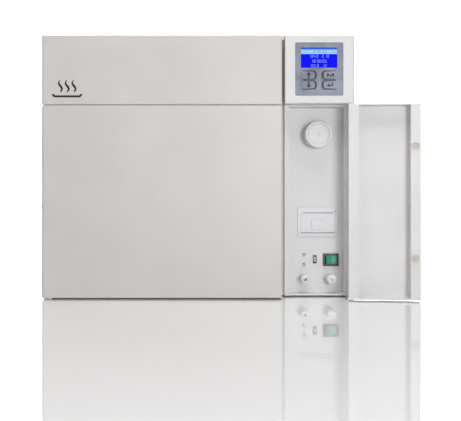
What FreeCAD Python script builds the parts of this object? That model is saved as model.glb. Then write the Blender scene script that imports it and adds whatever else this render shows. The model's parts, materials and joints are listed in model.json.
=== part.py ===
import FreeCAD, Part
import os
import re

import Sketcher
from FreeCAD import Placement, Rotation, Vector

# Benchtop autoclave: a pressure chamber with a wide front door, a display module, and a service bay behind
# its own small door.
#
# Every sub-part is drawn in the casing's coordinates, in millimetres: X runs to the right from the casing's
# middle, Y runs back from the front plane, and Z runs up from the bench. Each finished piece is then placed by
# case_x and case_y, which put the origin under the middle of the whole object with its service door open.

SIZES = {
    # where the casing stands in the part's frame
    "case_x": -50.6,
    "case_y": -308,
    # casing
    "case_half": 255,
    "case_top": 430,
    "case_deep": 630,
    "skirt": 2.4,
    "steel": 1.2,
    "plate": 3,
    "wall": 2.5,
    "front_deep": 45,
    "cover_front": 46.5,
    "frame_front": 64,
    "frame_back": 66,
    "soft_edge": 2,
    "big_edge": 5,
    # how the front is divided
    "split_x": 136,
    "groove_x": 138.6,
    "module_left": 140.4,
    "door_top": 315.8,
    "fascia_low": 316.5,
    "module_low": 318.5,
    # chamber door pivot and lock
    "pivot_x": -245,
    "pivot_y": 10,
    "pivot_pin": 3,
    "running_gap": 0.05,
    "bolt_x": 100,
    "bolt_y": 25,
    "bolt_round": 7,
    "keeper": 8.5,
    # pressure chamber
    "chamber_x": -59.5,
    "chamber_z": 160,
    "chamber_round": 125,
    "chamber_wall": 2.5,
    "flange_front": 52,
    "flange_round": 148,
    "chamber_back": 535,
    "jacket_thick": 22,
    "bolt_circle": 142,
    # service bay
    "strip_y": 25,
    "ridge_y": 26.5,
    "bay_y": 45,
    "jamb_left": 142.8,
    "jamb_right": 150.6,
    "bay_right": 242,
    "frame_top": 318.2,
    # service door, about its own pivot
    "service_x": 247.8,
    "service_y": 5,
    "service_pin": 2,
    "service_open": 174.6,
    "leaf_hinge": 4.7,
    "leaf_free": 108.8,
    "leaf_deep": 22.5,
    "leaf_low": 2.2,
    "leaf_top": 317.2,
    "hinge_rim": 16,
    "free_rim": 16,
    "bumper_round": 7,
    # display module
    "bezel_left": 157,
    "bezel_right": 235.4,
    "bezel_low": 331.1,
    "bezel_high": 417.6,
    "bezel_front": 0.6,
    "bezel_corner": 2.4,
    "seam": 0.15,
    "key_wide": 25,
    "key_tall": 15,
    "key_proud": 0.2,
    # filter, printer, switch and couplings on the bay's panel
    "filter_x": 198.5,
    "filter_z": 269.7,
    "filter_round": 22.3,
    "printer_y": 43,
    "printer_left": 167.2,
    "printer_right": 234.8,
    "printer_low": 100.1,
    "printer_high": 147.6,
    "slit_z": 138.3,
    "latch_corner": 5,
    "latch_middle": 119.5,
    "roll_round": 16,
    "switch_x": 223,
    "switch_z": 59.5,
    "rocker_tilt": 8,
    "fill_x": 177,
    "drain_x": 221.1,
    "coupling_z": 29.3,
    # tanks and their lid
    "tank_low": 330,
    "tank_high": 423.9,
    "lid_left": -200,
    "lid_right": 80,
    "lid_front": 110,
    "lid_back": 240,
    # fan
    "fan_x": 170,
    "fan_z": 280,
    "fan_half": 60,
    "fan_round": 57,
}

AXES = ("x", "y", "z")
TURNS = {
    "x": Rotation(Vector(0, 1, 0), 90),
    "y": Rotation(Vector(1, 0, 0), -90),
    "z": Rotation(),
}

doc = FreeCAD.newDocument("Autoclave")
sheet = doc.addObject("Spreadsheet::Sheet", "Dims")
for row, (alias, number) in enumerate(SIZES.items(), 1):
    sheet.set(f"A{row}", alias)
    sheet.set(f"B{row}", str(number))
    sheet.setAlias(f"B{row}", alias)
doc.recompute()

pieces = []
corners = {}


def full(text):
    """The expression with each alias read from the sheet."""
    def aliased(word):
        return f"Dims.{word.group()}" if word.group() in SIZES else word.group()

    return re.sub(r"[a-z][a-z_]*", aliased, str(text))


def place(thing, spots):
    """Binds the base point of a thing's placement to one expression for each axis."""
    for axis, text in zip(AXES, spots):
        thing.setExpression(f".Placement.Base.{axis}", full(text))


def block(x, y, z):
    """A box between two expressions along each axis."""
    box = doc.addObject("Part::Box", "block")
    for prop, (low, high) in zip(("Length", "Width", "Height"), (x, y, z)):
        box.setExpression(prop, full(f"({high}) - ({low})"))
    corners[box.Name] = (x[0], y[0], z[0])
    place(box, corners[box.Name])
    return box


def rod(axis, radius, span, at):
    """A cylinder along an axis, between the two ends of span, at its two other coordinates."""
    bar = doc.addObject("Part::Cylinder", "rod")
    bar.Placement = Placement(Vector(), TURNS[axis])
    bar.setExpression("Radius", full(radius))
    bar.setExpression("Height", full(f"({span[1]}) - ({span[0]})"))
    spots = list(at)
    spots.insert(AXES.index(axis), span[0])
    corners[bar.Name] = tuple(spots)
    place(bar, spots)
    return bar


def fuse(*parts):
    """One solid made of several that touch or overlap."""
    joined = doc.addObject("Part::MultiFuse", "joined")
    joined.Shapes = list(parts)
    joined.Refine = True
    return joined


def group(*parts):
    """Separate solids kept as one piece, such as identical screws."""
    held = doc.addObject("Part::Compound", "held")
    held.Links = list(parts)
    return held


def cut(base, *tools):
    """The base less every tool."""
    left = doc.addObject("Part::Cut", "left")
    left.Base = base
    left.Tool = tools[0] if len(tools) == 1 else group(*tools)
    return left


def piece(label, thing, x="0", y="0", z="0"):
    """Names a finished sub-part and places it in the part's frame."""
    thing.Label = label
    start = corners.get(thing.Name, ("0", "0", "0"))
    place(thing, (f"case_x + ({start[0]}) + ({x})", f"case_y + ({start[1]}) + ({y})", f"({start[2]}) + ({z})"))
    pieces.append(thing)


def sketch_on(body, plane, level="0"):
    """A sketch on one of the body's own origin planes, moved off it by level along its normal."""
    sketch = body.newObject("Sketcher::SketchObject", "outline")
    origin = next(face for face in body.Origin.OriginFeatures if face.Role == plane)
    sketch.AttachmentSupport = [(origin, "")]
    sketch.MapMode = "FlatFace"
    sketch.setExpression(".AttachmentOffset.Base.z", full(level))
    return sketch


def draw(sketch, points):
    """A closed outline of straight lines, each corner fixed by two expressions (0 puts it on the axis)."""
    count = len(points)
    start = [Rotation(Vector(0, 0, 1), 360 * i / count).multVec(Vector(1, 0, 0)) for i in range(count)]
    for i in range(count):
        sketch.addGeometry(Part.LineSegment(start[i], start[(i + 1) % count]))
    for i, point in enumerate(points):
        sketch.addConstraint(Sketcher.Constraint("Coincident", i, 2, (i + 1) % count, 1))
        for kind, text, axis in zip(("DistanceX", "DistanceY"), point, (-2, -1)):
            if text == 0:
                sketch.addConstraint(Sketcher.Constraint("PointOnObject", i, 1, axis))
            else:
                number = sketch.addConstraint(Sketcher.Constraint(kind, -1, 1, i, 1, 1.0))
                sketch.setExpression(f"Constraints[{number}]", full(text))


def oblong(x, z):
    """The four corners of a rectangle."""
    return [(x[0], z[0]), (x[1], z[0]), (x[1], z[1]), (x[0], z[1])]


def pad(body, sketch, length, back=False):
    """Raises a sketch into a solid, along the sketch's normal or back from it."""
    feature = body.newObject("PartDesign::Pad", "pad")
    feature.Profile = sketch
    feature.Reversed = back
    feature.setExpression("Length", full(length))
    return feature


def pocket(body, sketch, length, back=False):
    """Cuts a sketch into the body, and makes sure that it took something away."""
    doc.recompute()
    before = body.Shape.Volume
    feature = body.newObject("PartDesign::Pocket", "pocket")
    feature.Profile = sketch
    feature.Reversed = back
    feature.setExpression("Length", full(length))
    doc.recompute()
    if not body.Shape.Volume < before:
        raise RuntimeError(f"a pocket in {body.Name} cut nothing")


def rounded(body, radius, picks):
    """Fillets the edges of the body that picks(edge) chooses."""
    doc.recompute()
    base = body.Tip
    names = [f"Edge{i}" for i, edge in enumerate(base.Shape.Edges, 1) if picks(edge)]
    fillet = body.newObject("PartDesign::Fillet", "rounding")
    fillet.Base = (base, names)
    fillet.setExpression("Radius", full(radius))


def lies_at(edge, axis, level):
    """Whether the whole edge lies at one level of an axis."""
    box = edge.BoundBox
    low, high = {"x": (box.XMin, box.XMax), "y": (box.YMin, box.YMax), "z": (box.ZMin, box.ZMax)}[axis]
    return abs(low - level) < 0.01 and abs(high - level) < 0.01


def size(alias):
    """A driving dimension as a number."""
    return float(sheet.get(alias))


def turned(points, radius=None, picks=None):
    """A body turned about its own Y axis from (radius, y) corners, with some of its edges filleted."""
    body = doc.addObject("PartDesign::Body", "turned")
    sketch = sketch_on(body, "XY_Plane")
    draw(sketch, points)
    turn = body.newObject("PartDesign::Revolution", "turning")
    turn.Profile = sketch
    turn.ReferenceAxis = (sketch, ["V_Axis"])
    turn.Angle = 360
    if picks:
        rounded(body, radius, picks)
    return body


def soft_plate(x, z, front, deep, radius, below="case_top"):
    """An upright plate behind a front level, with those of its corners rounded that lie below a height."""
    body = doc.addObject("PartDesign::Body", "plate")
    sketch = sketch_on(body, "XZ_Plane", f"-({front})")
    draw(sketch, oblong(x, z))
    pad(body, sketch, deep, back=True)
    rounded(body, radius, lambda edge: abs(edge.tangentAt(edge.FirstParameter).y) > 0.9
            and edge.CenterOfMass.z < size(below))
    return body


def shell(x, z, deep, edge_radii):
    """A moulded front: a rectangle padded back from the front plane, hollow behind, its edges softened."""
    body = doc.addObject("PartDesign::Body", "shell")
    outer = sketch_on(body, "XZ_Plane")
    draw(outer, oblong(x, z))
    pad(body, outer, deep, back=True)
    for radius, picks in edge_radii:
        rounded(body, radius, picks)
    inner = sketch_on(body, "XZ_Plane", "-wall")
    inside = [[f"{low} + wall", f"{high} - wall"] for low, high in (x, z)]
    draw(inner, oblong(*inside))
    pocket(body, inner, deep)
    return body


# ---- casing -------------------------------------------------------------------------------------------------


def make_base_chassis():
    """Floor tray with upturned sides, which carries everything."""
    half = "case_half - steel - 0.2"
    floor = block((f"-({half})", half), ("50", "case_deep - 3"), ("skirt", "skirt + 1.5"))
    sides = [
        block((f"{sign}({half}) - {inset}", f"{sign}({half}) + 1.5 - {inset}"), ("50", "case_deep - 3"),
              ("skirt", "skirt + 25"))
        for sign, inset in (("-", 0), ("", 1.5))
    ]
    piece("base_chassis", fuse(floor, *sides))


def make_top_cover():
    """Sheet-steel wrap of the top and both sides, with a tank opening and a row of louvres."""
    body = doc.addObject("PartDesign::Body", "wrap")
    sketch = sketch_on(body, "XZ_Plane", "-cover_front")
    inner, roof = "case_half - steel", "case_top - steel"
    draw(sketch, [
        ("-case_half", "skirt"), (f"-({inner})", "skirt"), (f"-({inner})", roof), (inner, roof),
        (inner, "skirt"), ("case_half", "skirt"), ("case_half", "case_top"), ("-case_half", "case_top"),
    ])
    pad(body, sketch, "case_deep - cover_front", back=True)
    rounded(body, "soft_edge", lambda edge: lies_at(edge, "z", size("case_top"))
            and abs(abs(edge.CenterOfMass.x) - size("case_half")) < 0.01)
    opening = sketch_on(body, "XY_Plane", "case_top")
    draw(opening, oblong(("lid_left", "lid_right"), ("lid_front", "lid_back")))
    pocket(body, opening, "2 * steel")
    louvres = [
        block(("case_half - 2 * steel", "case_half + 1"), ("420", "580"),
              (f"{230 + 14 * i}", f"{235 + 14 * i}"))
        for i in range(9)
    ]
    piece("top_cover", cut(body, *louvres))


def make_rear_panel():
    """Rear sheet with the fan's ring grille and cut-outs for the mains inlet and safety valve."""
    half = "case_half - steel - 0.2"
    sheet_metal = block((f"-({half})", half), ("case_deep - 2", "case_deep - 0.5"),
                        ("skirt + 1.5", "case_top - steel"))
    rings = []
    for i in range(4):
        inside = 14 + 11 * i
        rings.append(cut(rod("y", f"{inside + 7}", ("case_deep - 4", "case_deep"), ("fan_x", "fan_z")),
                         rod("y", f"{inside}", ("case_deep - 5", "case_deep + 1"), ("fan_x", "fan_z"))))
    deep = ("case_deep - 5", "case_deep + 1")
    spokes = fuse(block(("fan_x - fan_half", "fan_x + fan_half"), deep, ("fan_z - 2", "fan_z + 2")),
                  block(("fan_x - 2", "fan_x + 2"), deep, ("fan_z - fan_half", "fan_z + fan_half")))
    grille = cut(group(*rings), spokes)
    inlet = block(("195", "235"), ("case_deep - 5", "case_deep + 1"), ("27", "53"))
    valve = rod("y", "10", ("case_deep - 5", "case_deep + 1"), ("-180", "360"))
    holes = [rod("y", "2.1", ("case_deep - 5", "case_deep + 1"), (f"{x}", f"{z}")) for x, z in SCREW_SPOTS]
    piece("rear_panel", cut(sheet_metal, grille, inlet, valve, *holes))


SCREW_SPOTS = [(x, z) for x in (-240, 0, 240) for z in (80, 410)]


def make_cover_screws():
    """Six screws through the rear panel."""
    screws = [
        fuse(rod("y", "4", ("case_deep - 0.5", "case_deep + 1.9"), (f"{x}", f"{z}")),
             rod("y", "2", ("case_deep - 12", "case_deep - 0.5"), (f"{x}", f"{z}")))
        for x, z in SCREW_SPOTS
    ]
    piece("cover_screws", group(*screws))


def make_rubber_feet():
    """Four round feet under the floor tray."""
    feet = [rod("z", "16", ("0", "skirt"), (f"{x}", f"{y}")) for x in (-210, 210) for y in (110, 590)]
    piece("rubber_feet", group(*feet))


def make_front_frame():
    """Steel plate behind the fascia and chamber door, to which the chamber's flange is bolted."""
    sheet_metal = block(("-251", "split_x + 14"), ("frame_front", "frame_back"),
                        ("skirt + 1.5", "case_top - 4"))
    mouth = rod("y", "chamber_round + 4", ("frame_front - 1", "frame_back + 1"), ("chamber_x", "chamber_z"))
    piece("front_frame", cut(sheet_metal, mouth, *bolt_rods("4.1", ("frame_front - 1", "frame_back + 1"))))


def bolt_rods(radius, span):
    """Twelve rods on the flange's bolt circle."""
    return [
        rod("y", radius, span,
            (f"chamber_x + bolt_circle * cos({angle})", f"chamber_z + bolt_circle * sin({angle})"))
        for angle in range(15, 360, 30)
    ]


def make_front_fascia():
    """Moulded panel above the chamber door."""
    edges = front_edges("fascia_low", "case_top")
    body = shell(("-case_half", "split_x"), ("fascia_low", "case_top"), "front_deep", edges)
    hinge = rod("z", "pivot_pin + 0.6", ("fascia_low - 1", "fascia_low + 5"), ("pivot_x", "pivot_y"))
    bolt = rod("z", "bolt_round + 0.6", ("fascia_low - 1", "fascia_low + 5"), ("bolt_x", "bolt_y"))
    piece("front_fascia", cut(body, hinge, bolt))


def front_edges(low, high):
    """The softened edges of a panel on the left of the front: a large one outside, small ones elsewhere."""
    def outer_side(edge):
        return lies_at(edge, "x", -size("case_half")) and lies_at(edge, "y", 0)

    def other_sides(edge):
        in_front = lies_at(edge, "y", 0)
        return in_front and (lies_at(edge, "x", size("split_x")) or lies_at(edge, "z", size(low))
                             or lies_at(edge, "z", size(high)))

    return [("big_edge", outer_side), ("soft_edge", other_sides)]


def make_tank_lid():
    """Lift-off lid in the top, with a finger hollow at its front."""
    body = doc.addObject("PartDesign::Body", "lid")
    plate = sketch_on(body, "XY_Plane", "case_top - 4")
    draw(plate, oblong(("lid_left + 1", "lid_right - 1"), ("lid_front + 1", "lid_back - 1")))
    pad(body, plate, "4")
    hollow = sketch_on(body, "XY_Plane", "case_top")
    draw(hollow, oblong(("-95", "-25"), ("lid_front + 8", "lid_front + 26")))
    pocket(body, hollow, "2.5")
    piece("tank_lid", body)


# ---- chamber and its door -----------------------------------------------------------------------------------


def make_pressure_chamber():
    """Deep-drawn vessel with a dished back and a bolting flange at its mouth."""
    radius, outer = "chamber_round", "chamber_round + chamber_wall"
    profile = [(radius, "flange_front"), ("flange_round", "flange_front"), ("flange_round", "frame_front"),
               (outer, "frame_front"), (outer, "chamber_back"), (0, "chamber_back"),
               (0, "chamber_back - chamber_wall"), (radius, "chamber_back - chamber_wall")]
    body = turned(profile)
    back = size("chamber_back")
    rounded(body, "40", lambda edge: lies_at(edge, "y", back) and edge.Curve.TypeId == "Part::GeomCircle")
    inside = back - size("chamber_wall")
    rounded(body, "40 - chamber_wall", lambda edge: lies_at(edge, "y", inside)
            and edge.Curve.TypeId == "Part::GeomCircle" and edge.Curve.Radius > size("chamber_round") - 1)
    bored = cut(body, *[
        rod("y", "4.1", ("flange_front - 1", "frame_front + 1"),
            (f"bolt_circle * cos({angle})", f"bolt_circle * sin({angle})"))
        for angle in range(15, 360, 30)
    ])
    piece("pressure_chamber", bored, x="chamber_x", z="chamber_z")


def make_flange_bolts():
    """Twelve bolts that hold the flange to the front frame."""
    heads = bolt_rods("6", ("flange_front - 3.4", "flange_front"))
    shanks = bolt_rods("4", ("flange_front", "frame_back + 6"))
    piece("flange_bolts", group(*[fuse(head, shank) for head, shank in zip(heads, shanks)]))


def make_chamber_insulation():
    """Mineral-wool jacket round the vessel and over its back."""
    inner, outer = "chamber_round + chamber_wall + 4", "chamber_round + chamber_wall + jacket_thick"
    profile = [(inner, "frame_back + 8"), (outer, "frame_back + 8"), (outer, "chamber_back + 20"),
               (0, "chamber_back + 20"), (0, "chamber_back + 4"), (inner, "chamber_back + 4")]
    piece("chamber_insulation", turned(profile), x="chamber_x", z="chamber_z")


def make_band_heaters():
    """Three heating bands between the vessel and its jacket."""
    bands = []
    for i in range(3):
        front = 130 + 120 * i
        spot = ("chamber_x", "chamber_z")
        bands.append(cut(rod("y", "chamber_round + chamber_wall + 3.5", (f"{front}", f"{front + 70}"), spot),
                         rod("y", "chamber_round + chamber_wall", (f"{front - 1}", f"{front + 71}"), spot)))
    piece("band_heaters", group(*bands))


def make_chamber_cradles():
    """Two saddles that carry the jacketed vessel on the floor."""
    outer = "chamber_round + chamber_wall + jacket_thick"
    saddles = [
        cut(block(("chamber_x - 100", "chamber_x + 100"), (f"{front}", f"{front + 20}"),
                  ("skirt + 1.5", "70")),
            rod("y", outer, (f"{front - 1}", f"{front + 21}"), ("chamber_x", "chamber_z")))
        for front in (140, 440)
    ]
    piece("chamber_cradles", group(*saddles))


def make_chamber_door_cover():
    """Moulded outer shell of the chamber door."""
    edges = front_edges("skirt", "door_top")
    body = shell(("-case_half", "split_x"), ("skirt", "door_top"), "front_deep", edges)
    holes = [
        rod("z", "pivot_pin + 0.6", ("skirt - 1", "door_top + 1"), ("pivot_x", "pivot_y")),
        keeper_hole("door_top - 5", "door_top + 1"),
    ]
    piece("chamber_door_cover", cut(body, *holes))


def keeper_hole(low, high):
    """The square hole in the door that takes the lock bolt."""
    return block(("bolt_x - keeper", "bolt_x + keeper"), ("bolt_y - keeper", "bolt_y + keeper"), (low, high))


def make_door_frame():
    """Steel plate in the door, with two pivot blocks, a boss for the pressure plate and the lock's strike."""
    sheet_metal = block(("-235", "128"), ("34", "34 + plate"), ("12", "308"))
    ends = (("8", "24"), ("296", "312"))
    blocks = [block(("-251.5", "-238.5"), ("4", "34 + plate"), end) for end in ends]
    arms = [block(("-239", "-230"), ("31", "34 + plate"), end) for end in ends]
    boss = rod("y", "22", ("33", "40"), ("chamber_x", "chamber_z"))
    strike = block(("bolt_x - 14", "bolt_x + 14"), ("bolt_y - 13", "34 + plate"), ("298", "door_top - wall"))
    bores = [rod("z", "pivot_pin + running_gap", ("7", "313"), ("pivot_x", "pivot_y")),
             keeper_hole("297", "door_top")]
    piece("door_frame", cut(fuse(sheet_metal, boss, strike, *blocks, *arms), *bores))


def make_pressure_plate():
    """Stainless disc that closes the chamber's mouth."""
    profile = [(0, "40"), ("138", "40"), ("142", "42"), ("142", "46"), ("127", "46"), ("118", "44"), (0, "44")]
    piece("pressure_plate", turned(profile), x="chamber_x", z="chamber_z")


def make_door_gasket():
    """Silicone ring with a sealing lip, carried by the pressure plate."""
    profile = [("128", "46"), ("136", "46"), ("136", "49"), ("134", "flange_front - 0.1"),
               ("131", "flange_front - 0.1"), ("129", "49")]
    piece("door_gasket", turned(profile), x="chamber_x", z="chamber_z")


def make_door_lock_bolt():
    """Round bolt that drops from the lock actuator into the door."""
    piece("door_lock_bolt", rod("z", "bolt_round", ("fascia_low + 0.3", "352"), ("bolt_x", "bolt_y")))


def make_lock_actuator():
    """Motor housing of the door lock, fixed to the front frame."""
    body = block(("bolt_x - 17", "bolt_x + 17"), ("8", "frame_front"), ("326", "400"))
    bore = rod("z", "bolt_round + running_gap", ("325", "353"), ("bolt_x", "bolt_y"))
    piece("lock_actuator", cut(body, bore))


def make_hinge_brackets():
    """The two brackets that carry the chamber door on upright pins."""
    pivot = ("pivot_x", "pivot_y")
    across = ("pivot_x - 7", "pivot_x + 7")
    upper = fuse(block(across, ("3", "frame_front"), ("319.4", "319.4 + plate")),
                 block(across, ("frame_front - plate", "frame_front"), ("319.4", "345")),
                 rod("z", "pivot_pin", ("298", "320"), pivot))
    lower = fuse(block(across, ("3", "90"), ("0.4", "2.1")),
                 block(across, ("frame_back", "90"), ("2", "skirt")),
                 rod("z", "pivot_pin", ("1", "22"), pivot))
    piece("door_hinge_brackets", group(upper, lower))


def make_tray_rack():
    """Two side plates with runners, tied by cross bars."""
    parts = []
    for sign in ("-", ""):
        side = f"chamber_x + ({sign}96)"
        parts.append(block((f"{side} - 0.75", f"{side} + 0.75"), ("80", "480"),
                           ("chamber_z - 66", "chamber_z + 66")))
        inward = "0.7" if sign else "-8"
        for level in TRAY_LEVELS:
            parts.append(block((f"{side} + ({inward})", f"{side} + ({inward}) + 7.3"), ("82", "478"),
                               (f"chamber_z + ({level}) - 1.5", f"chamber_z + ({level})")))
    for y in (90, 460):
        parts.append(rod("x", "2.5", ("chamber_x - 96", "chamber_x + 96"), (f"{y}", "chamber_z + 62")))
        parts.append(rod("x", "2.5", ("chamber_x - 96", "chamber_x + 96"), (f"{y}", "chamber_z - 62")))
    piece("tray_rack", fuse(*parts))


TRAY_LEVELS = (-50, -10, 30)


def make_trays():
    """Three stainless instrument trays on the rack's runners."""
    trays = []
    for level in TRAY_LEVELS:
        base = f"chamber_z + ({level})"
        outside = block(("chamber_x - 93", "chamber_x + 93"), ("84", "476"), (base, f"{base} + 14"))
        inside = block(("chamber_x - 92", "chamber_x + 92"), ("85", "475"), (f"{base} + 1", f"{base} + 15"))
        trays.append(cut(outside, inside))
    piece("trays", group(*trays))


# ---- display module -----------------------------------------------------------------------------------------


def make_display_housing():
    """Moulded housing of the display, with a window in front, and a tab and a flange towards the fascia."""
    def outer_side(edge):
        return lies_at(edge, "x", size("case_half")) and lies_at(edge, "y", 0)

    def other_sides(edge):
        return lies_at(edge, "y", 0) and any(
            lies_at(edge, axis, size(alias))
            for axis, alias in (("x", "module_left"), ("z", "module_low"), ("z", "case_top"))
        )

    body = shell(("module_left", "case_half"), ("module_low", "case_top"), "front_deep",
                 [("big_edge", outer_side), ("soft_edge", other_sides)])
    window = soft_plate(("bezel_left", "bezel_right"), ("bezel_low", "bezel_high"), "-1", "wall + 2",
                        "bezel_corner")
    pin = rod("z", "service_pin", ("module_low - 1", "module_low + 4.5"), ("service_x", "service_y"))
    tab = block(("split_x + 0.2", "module_left + 1"), ("5", "12"), ("case_top - 7.3", "case_top"))
    flange = block(("groove_x", "module_left + 1"), ("22", "24"), ("module_low", "case_top - 5"))
    piece("display_housing", fuse(cut(body, window, pin), tab, flange))


def key_spots():
    """Name and middle of each key: two columns and two rows on the lower half of the bezel."""
    columns = (179.9, 212.5)
    rows = (364.7, 348.7)
    names = ("key_up", "key_menu", "key_down", "key_enter")
    return [(name, columns[i % 2], rows[i // 2]) for i, name in enumerate(names)]


def make_display_bezel():
    """Satin metal plate with the screen's window and four key holes."""
    body = soft_plate(("bezel_left + seam", "bezel_right - seam"), ("bezel_low + seam", "bezel_high - seam"),
                      "bezel_front", "wall - bezel_front", "bezel_corner - seam")
    window = sketch_on(body, "XZ_Plane")
    draw(window, oblong(("166.4", "225.6"), ("376.5", "409.6")))
    pocket(body, window, "wall + 1")
    keys = [
        block((f"{x} - key_wide / 2 - 0.2", f"{x} + key_wide / 2 + 0.2"), ("-1", "wall + 1"),
              (f"{z} - key_tall / 2 - 0.2", f"{z} + key_tall / 2 + 0.2"))
        for _, x, z in key_spots()
    ]
    piece("display_bezel", cut(body, *keys))


def make_lcd_screen():
    """Liquid-crystal module behind the bezel's window."""
    piece("lcd_screen", block(("163", "229"), ("wall", "8"), ("374.4", "412")))


def make_keys():
    """Four keys, each a flat cap with a stem towards the board."""
    for name, x, z in key_spots():
        cap = block((f"{x} - key_wide / 2", f"{x} + key_wide / 2"), ("key_proud", "4"),
                    (f"{z} - key_tall / 2", f"{z} + key_tall / 2"))
        stem = rod("y", "2", ("3", "9.3"), (f"{x}", f"{z}"))
        piece(name, fuse(cap, stem))


def make_display_board():
    """Circuit board behind the screen and keys, on four pillars."""
    board = block(("159", "233"), ("10", "11.6"), ("333", "415"))
    pillars = [rod("y", "2.5", ("11.5", "16"), (f"{x}", f"{z}")) for x in (163, 229) for z in (337, 411)]
    piece("display_board", fuse(board, *pillars))


# ---- service bay --------------------------------------------------------------------------------------------


def make_service_frame():
    """One moulding: left jamb with its flange, recessed back panel, right ridge, floor and ceiling."""
    body = doc.addObject("PartDesign::Body", "bay")
    sketch = sketch_on(body, "XY_Plane", "skirt")
    draw(sketch, [
        ("jamb_left", "49"), ("jamb_left", "strip_y"), ("jamb_right", "strip_y"), ("jamb_right", "bay_y"),
        ("bay_right", "bay_y"), ("bay_right", "ridge_y"), ("case_half", "ridge_y"),
        ("case_half", "cover_front - 0.5"),
        ("case_half - wall", "cover_front - 0.5"), ("case_half - wall", "ridge_y + wall"),
        ("bay_right + wall", "ridge_y + wall"), ("bay_right + wall", "bay_y + wall"),
        ("jamb_right - wall", "bay_y + wall"), ("jamb_right - wall", "strip_y + wall"),
        ("jamb_left + wall", "strip_y + wall"), ("jamb_left + wall", "49"),
    ])
    pad(body, sketch, "frame_top - skirt")
    ends = [
        block(("jamb_right - 1", "bay_right + 1"), (f"{front}", "bay_y + 1"), span)
        for front, span in (("strip_y", ("frame_top - wall", "frame_top")),
                            ("ridge_y", ("skirt", "skirt + wall")))
    ]
    ends.append(block(("groove_x", "jamb_left + 1"), ("32", "34"), ("skirt", "frame_top")))
    tools = [
        rod("y", "14", ("bay_y - 1", "bay_y + 4"), ("filter_x", "filter_z")),
        block(("170", "232"), ("bay_y - 1", "bay_y + 4"), ("103", "145")),
        block(("193", "199.2"), ("bay_y - 1", "bay_y + 4"), ("53.5", "66.9")),
        block(("switch_x - 11", "switch_x + 11"), ("bay_y - 1", "bay_y + 4"),
              ("switch_z - 8.5", "switch_z + 8.5")),
    ]
    tools += [rod("y", "2.75", ("bay_y - 1", "bay_y + 4"), ("178", z)) for z in LAMP_LEVELS]
    tools += [rod("y", "6", ("bay_y - 1", "bay_y + 4"), (x, "coupling_z")) for x in ("fill_x", "drain_x")]
    piece("service_frame", cut(fuse(body, *ends), *tools))


LAMP_LEVELS = ("52.2", "68.5")


def make_service_door():
    """Door of the service bay: a shallow pan with wide rims at both sides, drawn about its pivot."""
    body = doc.addObject("PartDesign::Body", "leaf")
    outer = sketch_on(body, "XZ_Plane", "service_y")
    draw(outer, oblong(("-leaf_free", "leaf_hinge"), ("leaf_low", "leaf_top")))
    pad(body, outer, "leaf_deep", back=True)
    rounded(body, "soft_edge", lambda edge: lies_at(edge, "y", -size("service_y")))
    pan = sketch_on(body, "XZ_Plane", "service_y - wall")
    across = ("free_rim - leaf_free", "leaf_hinge - hinge_rim")
    draw(pan, oblong(across, ("leaf_low + wall", "leaf_top - wall")))
    pocket(body, pan, "leaf_deep")
    bores = [rod("z", "service_pin + running_gap", span, ("0", "0")) for span in
             (("leaf_low - 1", "leaf_low + 10"), ("leaf_top - 10", "leaf_top + 1"))]
    leaf = cut(body, *bores)
    leaf.Placement = Placement(Vector(), Rotation(Vector(0, 0, 1), 10))
    leaf.setExpression(".Placement.Rotation.Angle", full("service_open"))
    piece("service_door", leaf, x="service_x", y="service_y")


def make_door_bumpers():
    """Two ringed buffers on the service door's free rim."""
    back = "leaf_deep - service_y"
    discs = []
    for z in ("70.2", "249.4"):
        spot = ("bumper_round + 1.7 - leaf_free", z)
        disc = rod("y", "bumper_round", (back, f"{back} + 1.6"), spot)
        discs.append(cut(disc, rod("y", "0.62 * bumper_round", (f"{back} + 0.9", f"{back} + 3"), spot)))
    bumpers = group(*discs)
    bumpers.Placement = Placement(Vector(), Rotation(Vector(0, 0, 1), 10))
    bumpers.setExpression(".Placement.Rotation.Angle", full("service_open"))
    piece("door_bumpers", bumpers, x="service_x", y="service_y")


def make_service_hinge():
    """Upper pin of the service door, and the bracket under the floor with its lower pin."""
    pivot = ("service_x", "service_y")
    upper = rod("z", "service_pin", ("leaf_top - 8", "module_low + 4.5"), pivot)
    across = ("service_x - 6", "service_x + 5.2")
    lower = fuse(block(across, ("1", "66"), ("0.4", "1.9")),
                 block(across, ("52", "66"), ("1.5", "skirt")),
                 rod("z", "service_pin", ("1", "10"), pivot))
    piece("service_hinge_pins", group(upper, lower))


def make_filter():
    """Air filter: a neck through the panel and a round cap that turns on it."""
    neck = [(0, "26"), ("12", "26"), ("12", "bay_y - 2"), ("13.8", "bay_y - 2"), ("13.8", "62"), ("18", "62"),
            ("18", "92"), (0, "92")]
    piece("filter_holder", turned(neck), x="filter_x", z="filter_z")
    cap = [(0, "20.4"), ("filter_round - 5", "20.4"), ("filter_round - 4", "18.6"), ("filter_round - 3", "18"),
           ("filter_round - 1.5", "18"), ("filter_round", "20"), ("filter_round", "bay_y - 2.5"),
           ("12 + running_gap", "bay_y - 2.5"), ("12 + running_gap", "24"), (0, "24")]
    knob = turned(cap)
    dimple = rod("y", "2", ("20", "21.4"), ("0", "0"))
    piece("filter_cap", cut(knob, dimple), x="filter_x", z="filter_z")


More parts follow.
